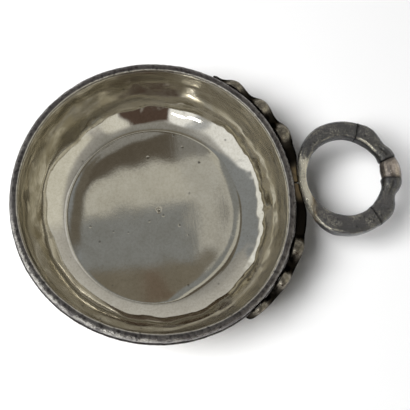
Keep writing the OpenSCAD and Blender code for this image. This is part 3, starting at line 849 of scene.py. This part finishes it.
# %% Group: scattered small pits
pit_group, p_in, p_out = new_group("small_pits", {"Scale": 150.0, "Size": 0.1, "Share": 0.3}, ["Pit"])
place = pit_group.nodes.new("ShaderNodeTexCoord").outputs["Object"]
cells = add(pit_group, "ShaderNodeTexVoronoi")
pit_group.links.new(place, cells.inputs["Vector"])
pit_group.links.new(p_in.outputs["Scale"], cells.inputs["Scale"])
near = sums(pit_group, "DIVIDE", cells.outputs["Distance"], p_in.outputs["Size"])
inside_pit = sums(pit_group, "SUBTRACT", 1.0, near, clamp=True)
split = pit_group.nodes.new("ShaderNodeSeparateColor")
pit_group.links.new(cells.outputs["Color"], split.inputs[0])
chosen = sums(pit_group, "LESS_THAN", split.outputs[0], p_in.outputs["Share"])
pit_group.links.new(sums(pit_group, "MULTIPLY", inside_pit, chosen), p_out.inputs["Pit"])
print(pit_group.name, "has", len(pit_group.nodes), "nodes")


# %% [markdown]
# ## Old silver
# One function sets up the metal for a piece: a clean colour, a tarnish colour, and a mask between
# them that adds the piece's own marks (worked out with its shape) to the shared clouds. Rubbed
# metal is smooth and tarnish is rougher, so the same mask drives the roughness.


# %% Material builder
def use_group(tree, group, **values):
    """Place a group in a material with its own input values."""
    node = tree.nodes.new("ShaderNodeGroup")
    node.node_tree = group
    for key, value in values.items():
        node.inputs[key].default_value = value
    return node


def mark(tree, name):
    """A piece's own float attribute as a socket."""
    node = tree.nodes.new("ShaderNodeAttribute")
    node.attribute_name = name
    return node.outputs["Fac"]


def blend_colour(tree, share, first, second):
    """Mix of two colours, each a socket or three numbers, by a share."""
    node = tree.nodes.new("ShaderNodeMix")
    node.data_type = "RGBA"
    tree.links.new(share, node.inputs["Factor"])
    for slot, value in zip((node.inputs[6], node.inputs[7]), (first, second)):
        if isinstance(value, tuple):
            slot.default_value = (*value, 1)
        else:
            tree.links.new(value, slot)
    return node.outputs[2]


def more(tree, total, value, weight):
    """Total plus value times weight."""
    return sums(tree, "ADD", total, sums(tree, "MULTIPLY", value, weight))


USUAL = {"marks": {}, "base": 0.0, "cloud": 0.3, "speck": 0.1, "haze": 0.0, "metal": (1.0, 1.0),
         "edge": 1.0, "dark_share": 0.85, "pit_scale": 160.0, "pit_size": 0.1, "pit_share": 0.3,
         "grit": 0.1, "bump": 0.15, "cloud_scale": 110.0}
SCRATCH_SCALE, SCRATCH_HIGH, PIT_LOW, BUMP_M = 700.0, 0.5, 1.2, 0.0002
CRUST_COLOUR, CRUST_SHARE = (0.22, 0.165, 0.095), 0.9


def old_silver(name, clean, tarnish, dark, rough, **own):
    """Silver whose tarnish share is the weighted sum of its marks and of the clouds.

    clean, tarnish and dark are colours; dark fills recesses and pits, and it is painted shade where a
    piece's dark mark holds shade. rough gives the roughness of clean and of tarnished metal. own
    changes
    the usual weights: marks by name, cloud, speck and base for the tarnish, haze for a thin veil of it
    on clean metal, edge for the shine at a grazing look. Tarnish is a thin dull film, so metal says how
    metallic clean and tarnished silver are.
    """
    how = {**USUAL, **own}
    material = bpy.data.materials.new(name)
    material.use_nodes = True
    tree = material.node_tree
    shader = tree.nodes["Principled BSDF"]
    shader.inputs["Specular Tint"].default_value = (*[how["edge"]] * 3, 1)
    clouds = use_group(tree, clouds_group, Scale=how["cloud_scale"])
    cloud, speck = clouds.outputs["Cloud"], clouds.outputs["Speck"]
    pit = use_group(tree, pit_group, Scale=how["pit_scale"], Size=how["pit_size"],
                    Share=how["pit_share"]).outputs["Pit"]
    scratches = use_group(tree, scratch_group, Scale=SCRATCH_SCALE).outputs["Height"]
    share = sums(tree, "MULTIPLY_ADD", cloud, how["cloud"])
    share.node.inputs[2].default_value = how["base"]
    share = more(tree, share, speck, how["speck"])
    for label, weight in how["marks"].items():
        share = more(tree, share, mark(tree, label), weight)
    share = ramp(tree, share, 0.0, 1.0)
    haze = more(tree, sums(tree, "MULTIPLY", cloud, how["haze"]), speck, how["haze"])
    colour = blend_colour(tree, sums(tree, "MAXIMUM", share, haze), clean, tarnish)
    crust = sums(tree, "MULTIPLY", mark(tree, "crust"), CRUST_SHARE, clamp=True)
    colour = blend_colour(tree, crust, colour, CRUST_COLOUR)
    # The dark colour fills pits, hollows and joints, and is painted shade where a piece's mark holds
    # shade.
    sunk = sums(tree, "ADD", mark(tree, "recess_and_shade"), pit, clamp=True)
    colour = blend_colour(tree, sums(tree, "MULTIPLY", sunk, how["dark_share"]), colour, dark)
    tree.links.new(colour, shader.inputs["Base Color"])
    tree.links.new(ramp(tree, share, 0.0, 1.0, *rough), shader.inputs["Roughness"])
    if how["metal"][0] == how["metal"][1]:
        shader.inputs["Metallic"].default_value = how["metal"][0]
    else:
        tree.links.new(ramp(tree, share, 0.3, 1.0, *how["metal"]), shader.inputs["Metallic"])
    height = more(tree, sums(tree, "MULTIPLY", scratches, SCRATCH_HIGH), pit, -PIT_LOW)
    height = more(tree, height, speck, how["grit"])
    bumps = add(tree, "ShaderNodeBump", Strength=how["bump"], Distance=BUMP_M)
    tree.links.new(height, bumps.inputs["Height"])
    tree.links.new(bumps.outputs["Normal"], shader.inputs["Normal"])
    return material


# %% [markdown]
# The five finishes differ in their colours and weights. The bowl is the cleanest, with a yellow-grey
# film high on the wall. The rim and the ring are dark with tarnish, rubbed bright on some edges and
# given painted highlights on the edges towards the window and painted shade on the ring's inner sides.
# The ball is a rosy grey with painted shade, and the tails are nearly black in their valleys, from
# tarnish and painted shade.

# %% The finishes of this cup
bowl_silver = old_silver(
    "bowl_silver", (0.84, 0.82, 0.76), (0.43, 0.39, 0.295), (0.03, 0.025, 0.02), (0.05, 0.17),
    marks={"high_wall": 0.72}, base=-0.3, cloud=0.44, speck=0.2, haze=0.2, metal=(1.0, 0.78),
    pit_scale=450.0, pit_size=0.24, pit_share=0.06, grit=0.05, bump=0.06, cloud_scale=150.0)
rim_silver = old_silver(
    "rim_silver", (0.66, 0.64, 0.6), (0.16, 0.15, 0.15), (0.018, 0.015, 0.015), (0.12, 0.2),
    marks={"flat_top": 0.2, "worn": -0.95}, base=0.5, cloud=0.3, speck=0.35, edge=0.45,
    pit_scale=900.0, pit_size=0.4, pit_share=0.3, grit=0.6, bump=0.4, cloud_scale=260.0)
ring_silver = old_silver(
    "ring_silver", (0.77, 0.73, 0.61), (0.15, 0.15, 0.155), (0.02, 0.02, 0.02), (0.24, 0.16),
    marks={"rubbed_and_highlight": -0.75, "streak": 0.14}, base=0.62, cloud=0.3, speck=0.4, metal=(0.8, 0.95),
    edge=0.6, pit_scale=800.0, pit_size=0.35, pit_share=0.2, grit=0.6, bump=0.35, cloud_scale=240.0)
ball_silver = old_silver(
    "ball_silver", (0.66, 0.585, 0.52), (0.34, 0.29, 0.255), (0.03, 0.03, 0.03), (0.14, 0.24),
    cloud=0.6, speck=0.35, metal=(0.9, 0.9), edge=0.6, pit_share=0.05, grit=0.2, bump=0.2,
    cloud_scale=260.0)
tail_silver = old_silver(
    "tail_silver", (0.50, 0.46, 0.38), (0.075, 0.066, 0.054), (0.005, 0.004, 0.003), (0.14, 0.2),
    marks={"crest": -0.6}, base=0.85, cloud=0.35, speck=0.3, dark_share=0.97, edge=0.35,
    pit_share=0.1, grit=0.3, bump=0.3, cloud_scale=260.0)
print("finishes:", [m.name for m in bpy.data.materials if m.name.endswith("_silver")])

# %% [markdown]
# Each piece now takes the place of its solid in the frame. All of them ride on the one body,
# because a soldered cup has nothing that moves.

# %% Every piece in the place of its CAD node
stand_for(bowl, "bowl", bowl_silver)
stand_for(rim, "rim_wire", rim_silver)
stand_for(upper_arm, "upper_arm", ring_silver)
stand_for(wall_limb, "wall_limb", ring_silver)
stand_for(lower_arm, "lower_arm", ring_silver)
stand_for(upper_head, "upper_head", ring_silver)
stand_for(lower_head, "lower_head", ring_silver)
stand_for(ball, "ball", ball_silver)
stand_for(upper_tail, "upper_tail", tail_silver)
stand_for(lower_tail, "lower_tail", tail_silver)

# %% [markdown]
# ## The floor
# The cup stands on white paper. A plane is enough, but lamps close to the cup leave the far paper
# grey. So the paper has a faint glow of its own, which grows with the distance from the cup. Light
# Path limits the glow to what the camera and the silver see, so it adds no light to the cup.

# %% Floor
FLOOR_HALF, GLOW_FROM, GLOW_TO, GLOW_NEAR, GLOW_FAR = 3.0, 0.12, 1.3, 0.03, 0.75
floor_mesh = bpy.data.meshes.new("floor")
corners = [(x * FLOOR_HALF, y * FLOOR_HALF, 0) for x, y in ((-1, -1), (1, -1), (1, 1), (-1, 1))]
floor_mesh.from_pydata(corners, [], [(0, 1, 2, 3)])
floor = bpy.data.objects.new("floor", floor_mesh)
bpy.context.scene.collection.objects.link(floor)
floor_paper = bpy.data.materials.new("floor_paper")
floor_paper.use_nodes = True
tree = floor_paper.node_tree
paper = tree.nodes["Principled BSDF"]
paper.inputs["Base Color"].default_value = (0.95, 0.95, 0.95, 1)
paper.inputs["Roughness"].default_value = 1.0
paper.inputs["Specular IOR Level"].default_value = 0.0
paper.inputs["Emission Color"].default_value = (1, 1, 1, 1)
rays = tree.nodes.new("ShaderNodeLightPath")
seen = sums(tree, "ADD", rays.outputs["Is Camera Ray"], rays.outputs["Is Glossy Ray"], clamp=True)
seen = sums(tree, "ADD", seen, rays.outputs["Is Transmission Ray"], clamp=True)
far_off = add(tree, "ShaderNodeVectorMath", operation="LENGTH")
tree.links.new(tree.nodes.new("ShaderNodeTexCoord").outputs["Object"], far_off.inputs[0])
glow = ramp(tree, far_off.outputs["Value"], GLOW_FROM, GLOW_TO, GLOW_NEAR, GLOW_FAR)
tree.links.new(sums(tree, "MULTIPLY", seen, glow), paper.inputs["Emission Strength"])
floor_mesh.materials.append(floor_paper)
print("floor:", 2 * FLOOR_HALF, "m wide")

# %% [markdown]
# ## The room
# Silver shows its surroundings, so most of its look comes from what stands round it. A picture of a
# room would do, but plain panels on the sky need no picture and can be placed one by one. Each is a
# mask on the direction of a ray: panels on the walls go by the angle round and by the rise, panels
# overhead by the level parts of the direction. A later panel covers the earlier ones. The room
# is only mirrored: what falls on the floor comes from the lamps.

# %% Walls that darken upwards
world = bpy.data.worlds.new("studio")
bpy.context.scene.world = world
world.use_nodes = True
world.cycles_visibility.diffuse = False
tree = world.node_tree
parts = tree.nodes.new("ShaderNodeSeparateXYZ")
tree.links.new(tree.nodes.new("ShaderNodeTexCoord").outputs["Generated"], parts.inputs[0])
level_x, level_y, upward = (parts.outputs[axis] for axis in "XYZ")
turned_by = sums(tree, "ARCTAN2", level_y, level_x)
risen_by = sums(tree, "ARCSINE", upward, 0.0)
walls = add(tree, "ShaderNodeValToRGB")
WALL_STOPS = [(0.0, 0.50), (0.3, 0.50), (0.72, 0.42), (0.92, 0.25), (1.0, 0.17)]
WARM = (1.0, 0.97, 0.9)
for spot, _ in WALL_STOPS[1:-1]:
    walls.color_ramp.elements.new(spot)
for element, (spot, level) in zip(walls.color_ramp.elements, WALL_STOPS):
    element.position, element.color = spot, (*(level * part for part in WARM), 1)
tree.links.new(upward, walls.inputs["Fac"])
print("walls from", WALL_STOPS[0][1], "below to", WALL_STOPS[-1][1], "overhead")

# %% Panels on the walls and overhead
# On the walls, in degrees: middle round from +X, half width, lower edge, upper edge, softness.
ROOM = {
    "low_window": ((178, 50, 4, 34, 4), (0.8, 0.8, 0.76)),
    "grey_screen": ((160, 28, 36, 78, 6), (0.235, 0.245, 0.25)),
    "right_wall": ((345, 32, 8, 50, 6), (0.64, 0.62, 0.54)),
    "window": ((205, 22, 13, 60, 8), (0.85, 0.85, 0.83)),
    "window_left": ((243, 8, 13, 60, 3), (0.95, 0.95, 0.93)),
    "curtain": ((231, 5, 13, 60, 4), (0.44, 0.45, 0.46)),
    "pale_door": ((290, 9, 13, 60, 4), (0.66, 0.64, 0.57)),
    "dark_doorway": ((263.5, 16.3, -8, 60, 2.5), (0.085, 0.058, 0.045)),
}
# Overhead, in parts of the direction: from and to along X, from and to along Y, softness.
OVERHEAD = {
    "right_ceiling": ((0.14, 0.5, 0.02, 0.4), (0.58, 0.57, 0.55)),
    "low_beam": ((-0.2, 0.11, -0.2, 0.130), (0.175, 0.155, 0.12)),
    "brown_post": ((-0.012, 0.018, 0.06, 0.122), (0.15, 0.115, 0.085)),
    "ceiling_strip": ((-0.13, 0.12, 0.211, 0.276), (0.47, 0.455, 0.40)),
    "grey_board": ((-0.4, -0.12, 0.08, 0.4, 0.02), (0.235, 0.245, 0.25)),
    "dark_end": ((-0.2, -0.12, 0.17, 0.4, 0.015), (0.13, 0.115, 0.09)),
    "ceiling_panel": ((0.07, 0.12, 0.136, 0.276), (0.43, 0.42, 0.38)),
    "grey_beam": ((-0.13, 0.07, 0.130, 0.211), (0.215, 0.22, 0.215)),
    "dark_beam": ((-0.13, 0.06, 0.279, 0.36), (0.10, 0.085, 0.065)),
}


def between(value, low, high, soft):
    """Mask that is 1 between low and high, with edges of the given softness."""
    rising = ramp(tree, value, low - soft, low + soft)
    return sums(tree, "MULTIPLY", rising, ramp(tree, value, high - soft, high + soft, 1.0, 0.0))


def on_wall(middle, half, low, high, soft):
    """Mask of a panel on a wall, by the angle away from its middle and by the rise."""
    half, low, high, soft = (math.radians(v) for v in (half, low, high, soft))
    aside = sums(tree, "WRAP", sums(tree, "SUBTRACT", turned_by, math.radians(middle)), math.pi)
    aside.node.inputs[2].default_value = -math.pi
    away = sums(tree, "ABSOLUTE", aside, 0.0)
    wide = ramp(tree, away, half - soft, half + soft, 1.0, 0.0)
    return sums(tree, "MULTIPLY", wide, between(risen_by, low, high, soft))


def overhead(left, right, near, far, soft=0.007):
    """Mask of a panel on the ceiling, by the level parts of the direction to it."""
    wide, deep = between(level_x, left, right, soft), between(level_y, near, far, soft)
    flat = sums(tree, "MULTIPLY", wide, deep)
    return sums(tree, "MULTIPLY", flat, sums(tree, "GREATER_THAN", upward, 0.5))


light = walls.outputs["Color"]
for where, colour in ROOM.values():
    light = blend_colour(tree, on_wall(*where), light, colour)
for where, colour in OVERHEAD.values():
    light = blend_colour(tree, overhead(*where), light, colour)
sky = tree.nodes["Background"]
tree.links.new(light, sky.inputs["Color"])
sky.inputs["Strength"].default_value = 1.0
print("room:", ", ".join([*ROOM, *OVERHEAD]))


# %% [markdown]
# ## Lamps and camera
# One large lamp on the left whitens the floor and throws the soft shadow to the right. A wide, weak
# lamp overhead keeps that shadow from going black. Silver would show both as hard squares, so they
# are hidden from glossy rays. A small lamp in the window does the opposite: it gives only the crisp
# lights on the edges. The camera stands above the cup, a little in front of it.


# %% Lamps
def soft_lamp(name, angle, rise, distance, size, power_w):
    """Square area lamp at an angle round the cup and a rise above the floor, aimed at the cup."""
    lamp = bpy.data.lights.new(name, "AREA")
    lamp.shape, lamp.size, lamp.energy = "SQUARE", size, power_w
    a, e = np.radians(angle), np.radians(rise)
    spot = Vector((math.cos(a) * math.cos(e), math.sin(a) * math.cos(e), math.sin(e))) * distance
    holder = bpy.data.objects.new(name, lamp)
    holder.location = spot
    holder.rotation_euler = spot.to_track_quat("Z", "Y").to_euler()
    bpy.context.scene.collection.objects.link(holder)
    print(f"{name}: {power_w} W, {size} m wide, {distance} m away")
    return holder


key = soft_lamp("key_lamp", angle=184, rise=60, distance=0.9, size=0.45, power_w=10.8)
fill = soft_lamp("fill_lamp", angle=150, rise=80, distance=1.2, size=1.4, power_w=0.7)
window = soft_lamp("window_lamp", angle=238, rise=36, distance=0.9, size=0.12, power_w=0.25)
key.visible_glossy = fill.visible_glossy = False
window.visible_diffuse = False

# %% Camera
EYE_MM, LENS, SENSOR = (-4.54, -45.76, 225.0), 65.85, 36.0
EYE_TURNS = [(-23, "Z"), (12.71, "X"), (14.67, "Z"), (-0.04, "Y"), (0.06, "X")]
eye = bpy.data.cameras.new("camera")
eye.lens, eye.sensor_width, eye.clip_start = LENS, SENSOR, 0.01
camera = bpy.data.objects.new("camera", eye)
bpy.context.scene.collection.objects.link(camera)
turned = Matrix.Identity(4)
for degrees, axis in EYE_TURNS:
    turned = turned @ Matrix.Rotation(math.radians(degrees), 4, axis)
camera.matrix_world = Matrix.Translation(Vector(EYE_MM) * MM) @ turned
bpy.context.scene.camera = camera
bpy.context.scene.view_settings.view_transform = "Standard"
print("camera", EYE_MM[2], "mm above the floor, lens", LENS, "mm")
